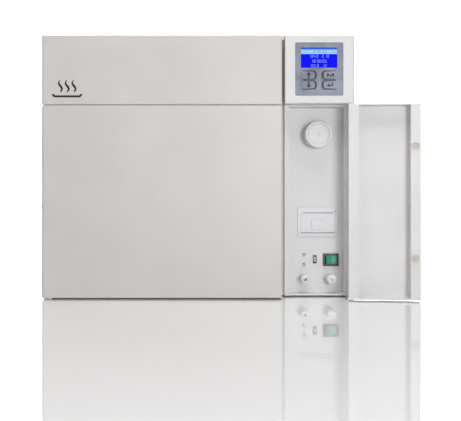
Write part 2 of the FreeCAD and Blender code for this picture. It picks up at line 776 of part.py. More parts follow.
def make_printer():
    """Strip printer: body with its bezel, drop-down cover, thumb latch and paper roll."""
    inner_x = ("172", "230")
    bezel = block(("printer_left", "printer_right"), ("printer_y", "bay_y"), ("printer_low", "printer_high"))
    box = block(("170", "232"), ("bay_y - 1", "100"), ("103", "145"))
    mouth = block(("172.2 - seam", "229.8 + seam"), ("printer_y - 1", "printer_y + 4"), ("104", "slit_z"))
    store = block(inner_x, ("bay_y", "97"), ("105.5", "142.5"))
    slit = block(("177.8", "225.6"), ("printer_y - 1", "printer_y + 4"), ("slit_z - 1", "slit_z + 0.7"))
    pins = rod("x", "1.06", ("170.9", "231.1"), PRINTER_PIVOT)
    lamp = rod("y", "1.1", ("printer_y - 1", "printer_y + 1.4"), ("230.6", "142.2"))
    piece("printer_body", cut(fuse(bezel, box), mouth, store, slit, pins, lamp))
    panel = block(("172.2", "229.8"), ("printer_y - 0.4", "printer_y + 2.6"), ("106.4", "slit_z - 0.3"))
    barrel = rod("x", "1.8", ("172.2", "229.8"), PRINTER_PIVOT)
    stubs = rod("x", "1", ("171.1", "230.9"), PRINTER_PIVOT)
    latch_hole = soft_plate(("190.4 - seam", "213 + seam"), ("110.8 - seam", "128.2 + seam"),
                            "printer_y - 1", "4", "latch_corner + seam", below="latch_middle")
    piece("printer_cover", cut(fuse(panel, barrel, stubs), latch_hole))
    latch = soft_plate(("190.4", "213"), ("110.8", "128.2"), "printer_y - 1.1", "3.4", "latch_corner",
                       below="latch_middle")
    piece("printer_latch", latch)
    core = rod("x", "6", ("172", "230"), ("76", "124"))
    piece("paper_roll", cut(rod("x", "roll_round", ("173", "229"), ("76", "124")), core))


PRINTER_PIVOT = ("printer_y + 1.6", "106.4")


def make_indicator_lamps():
    """Two lamps in the panel and a small one in the printer's bezel."""
    lamps = [rod("y", "2.7", ("bay_y - 1.5", "52"), ("178", z)) for z in LAMP_LEVELS]
    lamps.append(rod("y", "1", ("printer_y - 0.2", "printer_y + 1.4"), ("230.6", "142.2")))
    piece("indicator_lamps", group(*lamps))


def make_usb_port():
    """Upright socket with its tongue."""
    case = block(("193.1", "199.1"), ("bay_y - 1", "58"), ("53.6", "66.8"))
    mouth = block(("193.8", "198.4"), ("bay_y - 2", "55"), ("54.3", "66.1"))
    tongue = block(("194.2", "195.9"), ("bay_y + 1", "56"), ("54.8", "65.6"))
    piece("usb_port", fuse(cut(case, mouth), tongue))


def make_mains_switch():
    """Snap-in housing and the rocker in it, which stands tilted to one side."""
    x, z = "switch_x", "switch_z"
    bezel = block((f"{x} - 13.2", f"{x} + 13.2"), ("42.8", "bay_y"), (f"{z} - 10.6", f"{z} + 10.6"))
    box = block((f"{x} - 10.8", f"{x} + 10.8"), ("bay_y - 1", "66"), (f"{z} - 8.3", f"{z} + 8.3"))
    well = block((f"{x} - 9.7", f"{x} + 9.7"), ("42", "59"), (f"{z} - 7", f"{z} + 7"))
    pins = rod("z", "1.06", (f"{z} - 7.9", f"{z} + 7.9"), (x, "49"))
    piece("switch_housing", cut(fuse(bezel, box), well, pins))
    body = doc.addObject("PartDesign::Body", "rocker")
    outline = sketch_on(body, "XY_Plane", "switch_z - 6.8")
    draw(outline, [("-8.7", "-6.5"), (0, "-5.3"), ("8.7", "-6.5"), ("7.5", "3"), ("-7.5", "3")])
    pad(body, outline, "13.6")
    stubs = rod("z", "1", (f"{z} - 7.8", f"{z} + 7.8"), ("0", "0"))
    rocker = fuse(body, stubs)
    rocker.Placement = Placement(Vector(), Rotation(Vector(0, 0, 1), 5))
    rocker.setExpression(".Placement.Rotation.Angle", full("rocker_tilt"))
    piece("rocker_switch", rocker, x=x, y="49")


def make_couplings():
    """Quick couplings for filling and draining, each with its spring-loaded poppet."""
    for name, x, radius, face in (("fill", "fill_x", "7.3", "30"), ("drain", "drain_x", "8.3", "23")):
        profile = [("2.5 + running_gap", "22"), (f"{radius} - 1", "22"), (radius, "23"), (radius, "bay_y"),
                   ("5.9", "bay_y"), ("5.9", "64"), (0, "64"), (0, "50"), ("2.5 + running_gap", "50")]
        piece(f"{name}_coupling", turned(profile), x=x, z="coupling_z")
        piece(f"{name}_poppet", rod("y", "2.5", (face, "44"), (x, "coupling_z")))


# ---- inside the casing --------------------------------------------------------------------------------------


def tank(x, y):
    """An open-topped moulded tank."""
    inside = [(f"{low} + wall", f"{high} - wall") for low, high in (x, y)]
    return cut(block(x, y, ("tank_low", "tank_high")), block(*inside, ("tank_low + wall", "tank_high + 1")))


def make_tanks():
    """Clean and used water tanks, side by side under the lid."""
    piece("water_tanks", group(tank(("-245", "-62"), ("75", "300")), tank(("-58", "125"), ("75", "300"))))


def make_steam_generator():
    """Upright boiler with a flange and a heater head."""
    x, y = "190", "170"
    parts = [rod("z", "42", ("skirt + 1.5", "150"), (x, y)), rod("z", "48", ("150", "158"), (x, y)),
             rod("z", "16", ("158", "180"), (x, y))]
    piece("steam_generator", fuse(*parts))


def make_vacuum_pump():
    """Diaphragm vacuum pump: motor, head and foot."""
    foot = block(("140", "240"), ("300", "420"), ("skirt + 1.5", "14"))
    head = block(("150", "230"), ("300", "340"), ("13", "130"))
    motor = rod("y", "42", ("339", "425"), ("190", "70"))
    web = block(("175", "205"), ("350", "410"), ("13", "40"))
    piece("vacuum_pump", fuse(foot, head, motor, web))


def make_water_pump():
    """Small solenoid pump."""
    coil = block(("150", "190"), ("480", "530"), ("skirt + 1.5", "50"))
    barrel = rod("y", "9", ("460", "560"), ("170", "30"))
    piece("water_pump", fuse(coil, barrel))


def make_valve_block():
    """Brass manifold with four solenoid coils."""
    manifold = block(("125", "230"), ("240", "275"), ("190", "215"))
    coils = [rod("z", "11", ("214", "255"), (f"{139 + 25.7 * i}", "257.5")) for i in range(4)]
    piece("valve_block", fuse(manifold, *coils))


def make_safety_valve():
    """Brass relief valve through the rear panel."""
    profile = [(0, "590"), ("7", "590"), ("7", "612"), ("12", "612"), ("12", "624"), ("9.5", "624"),
               ("9.5", "640"), (0, "640")]
    piece("safety_valve", turned(profile), x="-180", z="360")


def make_condenser():
    """Finned radiator in front of the fan."""
    headers = [block((f"{x}", f"{x + 8}"), ("566", "590"), ("222", "338")) for x in (104, 228)]
    tubes = [rod("x", "4", ("111", "229"), ("578", f"{236 + 22 * i}")) for i in range(5)]
    fins = [block((f"{116 + 6 * i}", f"{117 + 6 * i}"), ("568", "588"), ("224", "336")) for i in range(19)]
    piece("condenser", fuse(*headers, *tubes, *fins))


def make_fan():
    """Axial fan: square housing with a motor hub on four struts, and a seven-blade rotor."""
    spot = ("fan_x", "fan_z")
    frame = cut(block(("fan_x - fan_half", "fan_x + fan_half"), ("602", "628"),
                      ("fan_z - fan_half", "fan_z + fan_half")),
                rod("y", "fan_round", ("601", "629"), spot))
    hub = rod("y", "20", ("624", "628"), spot)
    shaft = rod("y", "3", ("606", "625"), spot)
    struts = [block(("fan_x - 58", "fan_x + 58"), ("625", "628"), ("fan_z - 3", "fan_z + 3")),
              block(("fan_x - 3", "fan_x + 3"), ("625", "628"), ("fan_z - 58", "fan_z + 58"))]
    piece("fan_housing", fuse(frame, hub, shaft, *struts))
    blades = []
    for i in range(7):
        blade = doc.addObject("Part::Box", "blade")
        blade.Length = 38
        blade.Width = 1.6
        blade.Height = 22
        pitch = Rotation(Vector(1, 0, 0), 55)
        spin = Rotation(Vector(0, 1, 0), 360 * i / 7)
        start = pitch.multVec(Vector(0, -0.8, -11)) + Vector(17, 0, 0)
        blade.Placement = Placement(spin.multVec(start), spin.multiply(pitch))
        blades.append(blade)
    drum = rod("y", "20", ("-9", "9"), ("0", "0"))
    bore = rod("y", "3 + running_gap", ("-10", "10"), ("0", "0"))
    piece("fan_rotor", cut(fuse(drum, *blades), bore), x="fan_x", y="614", z="fan_z")


def make_boards():
    """Control board on the right side, and the power supply behind the display."""
    board = block(("246", "247.6"), ("300", "500"), ("180", "400"))
    chips = [block(("238", "246.1"), (f"{y}", f"{y + 30}"), ("350", "380")) for y in (320, 390, 460)]
    heatsink = block(("226", "246.1"), ("320", "360"), ("200", "290"))
    piece("control_board", fuse(board, heatsink, *chips))
    piece("power_supply", block(("140", "235"), ("80", "230"), ("335", "400")))


def make_mains_inlet():
    """Three-pin appliance inlet in the rear panel."""
    flange = block(("190", "240"), ("case_deep - 0.5", "case_deep + 2.5"), ("24", "56"))
    box = block(("195.2", "234.8"), ("600", "case_deep"), ("27.2", "52.8"))
    well = block(("203", "227"), ("614", "case_deep + 3"), ("31", "49"))
    pins = [block((f"{x - 1}", f"{x + 1}"), ("613", "case_deep"), (f"{z - 2}", f"{z + 2}")) for x, z in
            ((208, 38), (215, 42), (222, 38))]
    piece("mains_inlet", fuse(cut(fuse(flange, box), well), *pins))


MAKERS = (
    make_base_chassis, make_top_cover, make_rear_panel, make_cover_screws, make_rubber_feet, make_front_frame,
    make_front_fascia, make_tank_lid, make_pressure_chamber, make_flange_bolts, make_chamber_insulation,
    make_band_heaters, make_chamber_cradles, make_chamber_door_cover, make_door_frame, make_pressure_plate,
    make_door_gasket, make_door_lock_bolt, make_lock_actuator, make_hinge_brackets,
    make_tray_rack, make_trays, make_display_housing, make_display_bezel, make_lcd_screen, make_keys,
    make_display_board, make_service_frame, make_service_door, make_door_bumpers, make_service_hinge,
    make_filter,
    make_printer, make_indicator_lamps, make_usb_port, make_mains_switch, make_couplings, make_tanks,
    make_steam_generator, make_vacuum_pump, make_water_pump, make_valve_block, make_safety_valve,
    make_condenser,
    make_fan, make_boards, make_mains_inlet,
)
for maker in MAKERS:
    maker()
doc.recompute()

for thing in doc.Objects:
    if "Invalid" in thing.State or "Error" in thing.State:
        raise RuntimeError(f"{thing.Name} ({thing.Label}) failed: {thing.State}")
for thing in pieces:
    if thing.Shape.isNull() or not thing.Shape.isValid():
        raise RuntimeError(f"{thing.Label} has no valid shape")

os.makedirs("parts", exist_ok=True)
for thing in pieces:
    thing.Shape.exportStep(f"parts/{thing.Label}.step")
whole = FreeCAD.BoundBox()
for thing in pieces:
    whole.add(thing.Shape.BoundBox)
print(len(pieces), "pieces in", whole)
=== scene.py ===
import json
import math

import bpy
import numpy as np
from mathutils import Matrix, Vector


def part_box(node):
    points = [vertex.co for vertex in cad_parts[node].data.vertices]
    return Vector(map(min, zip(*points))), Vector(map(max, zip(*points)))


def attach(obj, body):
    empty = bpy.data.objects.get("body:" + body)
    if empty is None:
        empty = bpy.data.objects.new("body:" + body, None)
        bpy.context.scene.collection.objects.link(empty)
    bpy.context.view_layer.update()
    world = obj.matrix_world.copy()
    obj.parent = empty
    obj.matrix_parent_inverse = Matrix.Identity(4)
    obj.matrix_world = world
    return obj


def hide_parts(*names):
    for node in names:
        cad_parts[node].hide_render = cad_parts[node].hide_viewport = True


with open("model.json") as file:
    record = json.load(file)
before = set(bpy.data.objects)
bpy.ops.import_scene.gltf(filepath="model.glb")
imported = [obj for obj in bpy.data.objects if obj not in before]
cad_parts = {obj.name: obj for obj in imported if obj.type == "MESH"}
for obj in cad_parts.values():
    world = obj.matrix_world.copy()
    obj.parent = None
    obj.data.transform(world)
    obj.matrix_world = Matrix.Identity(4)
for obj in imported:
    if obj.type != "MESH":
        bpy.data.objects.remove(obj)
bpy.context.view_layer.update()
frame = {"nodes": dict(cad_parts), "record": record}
record = frame["record"]

MM = 0.001
LEVEL = np.array([[1.0, 0.0, 0.0], [0.0, 0.0, 1.0], [0.0, -1.0, 0.0]])  # right, up and out of the front


# ---- tools for materials ----------------------------------------------------------------------------------


def linear(colour):
    """An sRGB hex colour as linear red, green, blue and full alpha."""
    parts = [int(colour[i:i + 2], 16) / 255 for i in (0, 2, 4)]
    return [part / 12.92 if part < 0.04045 else ((part + 0.055) / 1.055) ** 2.4 for part in parts] + [1.0]


def add(tree, kind, links=None, **settings):
    """One node of a tree: settings are its properties, links its inputs, each a value or a node's output."""
    made = tree.nodes.new(kind)
    for name, value in settings.items():
        setattr(made, name, value)
    for name, value in (links or {}).items():
        if isinstance(value, bpy.types.NodeSocket):
            tree.links.new(value, made.inputs[name])
        else:
            made.inputs[name].default_value = value
    return made


def new_material(name, **sockets):
    """A material with a Principled shader whose constant sockets are set directly."""
    material = bpy.data.materials.new(name)
    material.use_nodes = True
    tree = material.node_tree
    shader = tree.nodes["Principled BSDF"]
    for socket, value in sockets.items():
        shader.inputs[socket.replace("_", " ")].default_value = value
    return material, tree, shader


# ---- finishes ---------------------------------------------------------------------------------------------


def toned(tree, shader, tone, stops):
    """Colours the shader along a tone, between two stops of (level, colour)."""
    ramp = add(tree, "ShaderNodeValToRGB", {"Fac": tone})
    for element, (level, colour) in zip(ramp.color_ramp.elements, stops):
        element.position = level
        element.color = linear(colour)
    tree.links.new(ramp.outputs["Color"], shader.inputs["Base Color"])


def grained(tree, shader, grain, rough, depth, strength):
    """Lets a grain vary the shader's roughness between two values, and raise a relief of a depth in mm."""
    gloss = add(tree, "ShaderNodeMapRange", {"Value": grain, "To Min": rough[0], "To Max": rough[1]})
    relief = add(tree, "ShaderNodeBump", {"Height": grain, "Distance": depth * MM, "Strength": strength})
    tree.links.new(gloss.outputs["Result"], shader.inputs["Roughness"])
    tree.links.new(relief.outputs["Normal"], shader.inputs["Normal"])


def surface(name, near, far, rough, grain, depth, patch=60, stretch=(1, 1, 1), **sockets):
    """A finish with faint broad patches of colour, and a fine grain in its roughness and relief.

    near and far are the two close colours, patch the size of their patches in millimetres, rough the span of
    roughness, grain the spacing of the relief and depth its height, both in millimetres.
    """
    material, tree, shader = new_material(name, **sockets)
    where = add(tree, "ShaderNodeTexCoord").outputs["Object"]
    broad = add(tree, "ShaderNodeTexNoise", {"Vector": where, "Scale": 1 / (patch * MM), "Detail": 2.0})
    combed = add(tree, "ShaderNodeMapping", {"Vector": where, "Scale": stretch})
    fine = add(tree, "ShaderNodeTexNoise",
               {"Vector": combed.outputs["Vector"], "Scale": 1 / (grain * MM), "Detail": 3.0})
    toned(tree, shader, broad.outputs["Fac"], ((0.35, near), (0.65, far)))
    grained(tree, shader, fine.outputs["Fac"], rough, depth, 1.0)
    return material


def brushed_plate(name, dark, pale, rough, **sockets):
    """Brushed sheet: level scratches a fifth of a millimetre apart, of uneven depth, over a cloudy tone."""
    material, tree, shader = new_material(name, **sockets)
    where = add(tree, "ShaderNodeTexCoord").outputs["Object"]
    combed = add(tree, "ShaderNodeMapping", {"Vector": where, "Scale": (0.02, 1, 1)})
    scratch = add(tree, "ShaderNodeTexNoise",
                  {"Vector": combed.outputs["Vector"], "Scale": 1 / (0.2 * MM), "Detail": 4.0})
    cloud = add(tree, "ShaderNodeTexNoise", {"Vector": where, "Scale": 1 / (25 * MM), "Detail": 2.0})
    both = add(tree, "ShaderNodeMath", {0: scratch.outputs["Fac"], 1: cloud.outputs["Fac"]}, operation="ADD")
    tone = add(tree, "ShaderNodeMath", {0: both.outputs["Value"], 1: 0.5}, operation="MULTIPLY")
    toned(tree, shader, tone.outputs["Value"], ((0.38, dark), (0.62, pale)))
    grained(tree, shader, scratch.outputs["Fac"], rough, 0.01, 0.6)
    return material


def lit_screen(name, colour, glow, strength):
    """Back-lit liquid crystal: its own light, dimmed a little in level rows about 3 mm apart."""
    material, tree, shader = new_material(name, Base_Color=linear(colour), Roughness=0.35, IOR=1.4,
                                          Specular_IOR_Level=0.05, Emission_Strength=strength)
    where = add(tree, "ShaderNodeTexCoord").outputs["Object"]
    # at a scale of 1 this wave runs through 20 radians to a metre
    rows = add(tree, "ShaderNodeTexWave", {"Vector": where, "Scale": 100}, bands_direction="Z")
    shade = add(tree, "ShaderNodeMapRange", {"Value": rows.outputs["Fac"], "To Min": 0.9, "To Max": 1.0})
    glowing = add(tree, "ShaderNodeMix", {0: shade.outputs["Result"], 6: linear("000000"), 7: linear(glow)},
                  data_type="RGBA")
    tree.links.new(glowing.outputs[2], shader.inputs["Emission Color"])
    return material


def make_finishes():
    """The finish of every slot, by the slot's name."""
    return {
        # stoved enamel on steel and on the big fronts: a warm pale grey with a faint orange peel
        "panel_paint": surface("stoved_enamel", "c6c2c0", "cbc7c5", (0.36, 0.46), 1.6, 0.012, 120, IOR=1.5),
        # spark-textured ABS, whiter than the enamel: a fine even grain that breaks up the shine
        "moulding": surface("spark_textured_abs", "d4d3d3", "d9d8d8", (0.42, 0.54), 0.8, 0.02, 90, IOR=1.53),
        # brushed and anodised aluminium foil of the display's overlay, blue-grey
        "bezel_metal": brushed_plate("brushed_overlay", "666b77", "868b97", (0.42, 0.54), Metallic=0.3),
        "key_film": brushed_plate("brushed_key_film", "666b77", "868b97", (0.42, 0.54), Metallic=0.3),
        "lcd": lit_screen("blue_screen", "000050", "0002fb", 1.0),
        # gloss ABS of the printer: a little cooler than its panel
        "printer_plastic": surface("gloss_abs", "c8c7cb", "cdccd0", (0.3, 0.38), 1.0, 0.008, 40, IOR=1.53),
        "paper": surface("thermal_paper", "f2f1ee", "f7f6f4", (0.55, 0.65), 0.3, 0.01, 20),
        "lamp": surface("smoked_lens", "5d504a", "6a5b54", (0.2, 0.3), 0.5, 0.003, 4),
        "steel": surface("bright_turned_steel", "b4b6b8", "c0c2c4", (0.25, 0.4), 0.4, 0.004, 15,
                         Metallic=1.0),
        "zinc": surface("zinc_plated_sheet", "a7a9a8", "b9bab8", (0.35, 0.55), 3.0, 0.004, 12, Metallic=0.9),
        "stainless": surface("brushed_stainless", "b9b9b7", "c6c6c4", (0.22, 0.36), 0.4, 0.005, 30,
                             (0.04, 1, 1), Metallic=1.0),
        "silicone": surface("clear_silicone", "c9c8c2", "d2d1cb", (0.35, 0.45), 0.8, 0.01, 15),
        "rubber": surface("black_rubber", "151515", "1d1d1d", (0.6, 0.75), 0.6, 0.03, 10),
        "bumper": surface("beige_polyamide", "d0c3b3", "d8ccbd", (0.4, 0.5), 0.5, 0.006, 8),
        "black_plastic": surface("black_nylon", "16171a", "1e1f22", (0.4, 0.55), 0.6, 0.015, 15),
        "rocker_green": surface("green_polycarbonate", "1c9c74", "27a980", (0.36, 0.46), 0.8, 0.004, 8,
                                Transmission_Weight=0.15, IOR=1.585),
        "coupling": surface("white_acetal", "cbcac8", "d2d1cf", (0.25, 0.35), 0.6, 0.006, 10),
        "wool": surface("mineral_wool", "b7a672", "cdbf90", (0.85, 0.95), 1.5, 0.6, 15),
        "heater": surface("foil_heater", "a9a9a9", "bcbcbc", (0.3, 0.45), 2.0, 0.05, 10, Metallic=1.0),
        "tank": surface("natural_polyethylene", "d9dee0", "e4e7e8", (0.35, 0.5), 1.2, 0.01, 40),
        "board": surface("solder_mask", "0f4a26", "14562e", (0.3, 0.4), 1.5, 0.02, 10),
        "brass": surface("machined_brass", "a98c4e", "b99a58", (0.25, 0.4), 0.4, 0.004, 12, Metallic=1.0),
        "aluminium": surface("plain_aluminium", "b7b9bb", "c3c5c6", (0.3, 0.45), 0.8, 0.006, 20,
                             Metallic=1.0),
        "pump": surface("dark_enamel", "2b2f34", "33383e", (0.35, 0.5), 1.4, 0.02, 25),
        # inks and parts that only the new pieces carry
        "black_ink": surface("screen_printed_ink", "141414", "1b1b1b", (0.45, 0.6), 0.5, 0.003, 12),
        "slate_ink": surface("slate_overlay_ink", "16262c", "1e3038", (0.45, 0.6), 0.5, 0.003, 12),
        "screen_bar": lit_screen("lit_title_bar", "5a8090", "a0dce0", 0.66),
        "screen_edge": lit_screen("lit_screen_edge", "202c70", "3c5ae6", 0.9),
        "screen_text": lit_screen("lit_digits", "3040a0", "86a0ff", 1.0),
        "bar_text": lit_screen("shaded_digits", "304090", "6a90f0", 0.8),
        "pale_mark": surface("moulded_mark", "5fb795", "6bbf9f", (0.3, 0.4), 0.6, 0.003, 6),
        "grey_pad": surface("grey_felt_pad", "bfbab3", "c9c5be", (0.8, 0.9), 0.4, 0.08, 6),
    }


def dress():
    """Puts each CAD node's own finish in its material slots."""
    slots = {part["node"]: part["material_slot"] for part in record["subparts"]}
    for name, part in frame["nodes"].items():
        part.data.materials.clear()
        part.data.materials.append(finishes[slots[name]])


finishes = make_finishes()
dress()


# ---- tools for shapes -------------------------------------------------------------------------------------


def skin(rings, closed=False):
    """A closed skin over a stack of rings of points.

    Quads join each ring to the next. A closed stack joins its last ring to its first; any other has a fan of
    triangles round the mean of each end ring.
    """
    count, around = rings.shape[:2]
    number = np.arange(count * around).reshape(count, around)
    points = rings.reshape(-1, 3)
    if closed:
        number = np.vstack([number, number[:1]])
    first, second = number[:-1], number[1:]
    quads = np.stack([first, np.roll(first, -1, 1), np.roll(second, -1, 1), second], axis=-1).reshape(-1, 4)
    if closed:
        return points, quads, np.empty((0, 3), int)
    hubs = np.full(around, len(points))
    points = np.vstack([points, rings[0].mean(axis=0), rings[-1].mean(axis=0)])
    low_fan = np.stack([np.roll(number[0], -1), number[0], hubs], axis=-1)
    high_fan = np.stack([number[-1], np.roll(number[-1], -1), hubs + 1], axis=-1)
    return points, quads, np.vstack([low_fan, high_fan])


def build(name, skins, finish, body, stands_for=()):
    """A piece from closed skins, each turned so that the volume it encloses is positive."""
    points, faces, start = [], [], 0
    for corners, quads, fans in skins:
        triangles = np.vstack([quads[:, [0, 1, 2]], quads[:, [0, 2, 3]], fans])
        a, b, c = (corners[triangles[:, i]] - corners.mean(axis=0) for i in range(3))
        turn = slice(None, None, 1 if np.einsum("ij,ij->", a, np.cross(b, c)) > 0 else -1)
        points.append(corners)
        faces += (quads[:, turn] + start).tolist() + (fans[:, turn] + start).tolist()
        start += len(corners)
    mesh = bpy.data.meshes.new(name)
    mesh.from_pydata(np.vstack(points), [], faces)
    mesh.polygons.foreach_set("use_smooth", np.ones(len(mesh.polygons), bool))
    mesh.set_sharp_from_angle(angle=math.radians(32))
    mesh.materials.append(finishes[finish])
    piece = bpy.data.objects.new(name, mesh)
    bpy.context.scene.collection.objects.link(piece)
    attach(piece, body)
    if stands_for:
        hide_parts(*stands_for)


def turned(profile, centre, basis=LEVEL, around=72, hexed=None):
    """Rings round an axis: each (radius, height) of the profile, in millimetres, makes one circle.

    The circle lies along the first two rows of basis and the height along the third. hexed gives each ring's
    share of a hexagon, whose radius is the circle's divided by the cosine of the angle from its nearest flat.
    """
    profile = np.array(profile) * MM
    angle = np.linspace(0, 2 * math.pi, around, endpoint=False)
    flats = 1 / np.cos((angle + math.pi / 6) % (math.pi / 3) - math.pi / 6)
    share = np.zeros(len(profile)) if hexed is None else np.array(hexed)
    reach = profile[:, :1] * (1 + share[:, None] * (flats - 1))
    height = np.broadcast_to(profile[:, 1:], reach.shape)
    return np.array(centre) + np.stack([reach * np.cos(angle), reach * np.sin(angle), height], -1) @ basis


def outline(half_x, half_z, corner, steps=6):
    """Points round a rectangle with round corners: each quarter circle sits in from its own corner."""
    angle = np.linspace(0, 2 * math.pi, 4 * steps, endpoint=False) + math.pi / (4 * steps)
    side_x, side_z = np.sign(np.cos(angle)), np.sign(np.sin(angle))
    quarter = np.linspace(0, math.pi / 2, steps)
    turn = np.concatenate([quarter + index * math.pi / 2 for index in range(4)])
    return np.stack([side_x * (half_x - corner) + corner * np.cos(turn),
                     side_z * (half_z - corner) + corner * np.sin(turn)], axis=-1)


def upright(flat, depth):
    """Flat points (x, z) as points in space at a depth y."""
    return np.stack([flat[..., 0], np.full(flat.shape[:-1], depth), flat[..., 1]], axis=-1)


def plate(low_x, high_x, low_z, high_z, corner, front, back, ease):
    """An upright plate with round corners, its front edge eased: rings of its outline at three depths."""
    middle = np.array([low_x + high_x, low_z + high_z]) / 2
    half_x, half_z = (high_x - low_x) / 2, (high_z - low_z) / 2
    full = outline(half_x, half_z, corner) + middle
    small = outline(half_x - ease, half_z - ease, corner - ease) + middle
    return skin(np.stack([upright(small, front), upright(full, front + ease), upright(full, back)]))


def stroke(path, wide, front, back):
    """A flat band along a path of (x, z) points, from front to back: path and width are in millimetres.

    The band's two sides are the path moved by half its width along its normal, which is its tangent turned
    a quarter.
    """
    path = np.array(path, float)
    ahead = np.gradient(path, axis=0)
    across = np.stack([-ahead[:, 1], ahead[:, 0]], axis=-1)
    across /= np.linalg.norm(across, axis=1, keepdims=True)
    half = np.broadcast_to(wide, len(path))[:, None] / 2
    left, right = (path + across * half) * MM, (path - across * half) * MM
    corners = [upright(left, front), upright(right, front), upright(right, back), upright(left, back)]
    return skin(np.stack(corners, 1))


def moved(shape, across, up):
    """A skin moved along x and z, in metres."""
    return shape[0] + np.array([across, 0.0, up]), shape[1], shape[2]


# ---- marks on the front -----------------------------------------------------------------------------------


def make_front_mark():
    """A plain sterilising sign on the fascia: three wisps of steam over a tray.

    Each wisp is a sine wave climbing from the tray; the tray is a flat band with its ends turned up.
    """
    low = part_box("front_fascia")[0]
    front, back = low.y - 0.08 * MM, low.y + 0.02 * MM
    apart, sway, foot, tall = 11, 2.6, 7, 20
    climb = np.linspace(0, 1, 30)
    shapes = []
    for place in (-apart, 0, apart):
        path = np.stack([place + sway * np.sin(2 * math.pi * climb), foot + tall * climb], axis=-1)
        shapes.append(stroke(path, 3.6 * np.sin(math.pi * (0.16 + 0.78 * climb)), front, back))
    half, bend = 19, 4
    bow = np.linspace(-math.pi / 2, 0, 8)
    end = np.stack([half + bend * np.cos(bow), bend + bend * np.sin(bow)], axis=-1)
    tray = np.vstack([end[::-1] * (-1, 1), end])
    shapes.append(stroke(tray, 3.4, front, back))
    across, up = low.x + 42 * MM, low.z + 13.5 * MM
    shapes = [moved(shape, across, up) for shape in shapes]
    build("fascia_sign", shapes, "black_ink", "casing")


# each digit's lit bars, from the top bar clockwise, the middle bar last
DIGITS = {"0": "abcdef", "1": "bc", "2": "abged", "3": "abgcd", "4": "fgbc", "5": "afgcd", "6": "afgedc",
          "7": "abc", "8": "abcdefg", "9": "abcdfg"}


def digit_bars(text, tall, front, back):
    """The lit bars of a line of seven-bar digits, tall in millimetres, and the line's width.

    Each bar is a short band whose ends stop short of the digit's corners, and each point is a dot. A digit is
    half as wide as it is tall.
    """
    wide, bar, gap = 0.5 * tall, 0.15 * tall, 0.35 * tall
    half = tall / 2
    ends = {"a": ((0, tall), (wide, tall)), "b": ((wide, tall), (wide, half)), "c": ((wide, half), (wide, 0)),
            "d": ((0, 0), (wide, 0)), "e": ((0, 0), (0, half)), "f": ((0, half), (0, tall)),
            "g": ((0, half), (wide, half))}
    bars, pen = [], 0.0
    for sign in text:
        if sign in DIGITS:
            for name in DIGITS[sign]:
                start, stop = np.array(ends[name][0], float), np.array(ends[name][1], float)
                path = start + (stop - start) * np.linspace(0.06, 0.94, 3)[:, None] + (pen, 0)
                bars.append(stroke(path, bar, front, back))
            pen += wide + gap
        elif sign in ".:":
            for up in ((0,) if sign == "." else (0.25 * tall, 0.7 * tall)):
                dot = np.array([[pen - 0.02 * tall, up], [pen + 0.06 * tall, up], [pen + 0.14 * tall, up]])
                bars.append(stroke(dot, bar, front, back))
            pen += 0.4 * tall
        else:
            pen += 0.6 * tall
    return bars, pen - gap


def make_screen():
    """What the screen shows: a pale title bar with the time, and three lines of readings, all numbers."""
    low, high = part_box("lcd_screen")
    left, right = low.x + 3.4 * MM, high.x - 3.4 * MM
    top = high.z - 2.4 * MM
    front, back = low.y - 0.12 * MM, low.y + 0.02 * MM
    across = np.linspace(left / MM, right / MM, 3)[:, None] * (1, 0)
    for name, tall, down, glow in (("screen_title_bar", 7.2, 6.8, "screen_bar"),
                                   ("screen_upper_edge", 3.0, 1.6, "screen_edge")):
        build(name, [moved(stroke(across, tall, front, back), 0, top - down * MM)], glow, "casing")
    # each line: what it says, how tall its digits are, how far down its foot lies, and its light
    lines = (("12:45:30", 4.0, 9.0, "bar_text"), ("134.0  2.10", 4.2, 16.1, "screen_text"),
             ("18:30:05", 4.4, 24.1, "screen_text"), ("05.0  12", 4.4, 32.0, "screen_text"))
    groups = {"bar_text": [], "screen_text": []}
    for text, tall, down, glow in lines:
        bars, width = digit_bars(text, tall, front - 0.06 * MM, front)
        groups[glow] += [moved(bar, (left + right - width * MM) / 2, top - down * MM) for bar in bars]
    build("screen_clock", groups["bar_text"], "bar_text", "casing")
    build("screen_readings", groups["screen_text"], "screen_text", "casing")


def key_frame(low, high, side):
    """A half-open frame round a key: a thin line from one edge, a round thick turn, and a thin line back.

    The path is the key's outline less one side, and side tells which way the turn faces. Its width grows from
    the ends to the turn as the square of a sine, from thin by more.
    """
    thin, more, corner = 1.1, 2.1, 4.6
    half_x, half_z = (high.x - low.x) / 2 / MM - 1.8, (high.z - low.z) / 2 / MM - 1.1
    turn = np.linspace(math.pi / 2, 0, 9)
    run = np.linspace(-half_x, half_x - corner, 7)[:, None] * (1, 0)
    level = run + (0, half_z)
    level[:, 1] += np.linspace(0.5, 0, 7)
    arc = np.stack([np.cos(turn), np.sin(turn)], axis=-1) * corner + (half_x - corner, half_z - corner)
    upper = np.vstack([level[:-1], arc])
    path = np.vstack([upper, upper[::-1] * (1, -1)]) * (side, 1)
    share = np.linspace(0, 1, len(path))
    return path, thin + more * np.sin(math.pi * share) ** 2


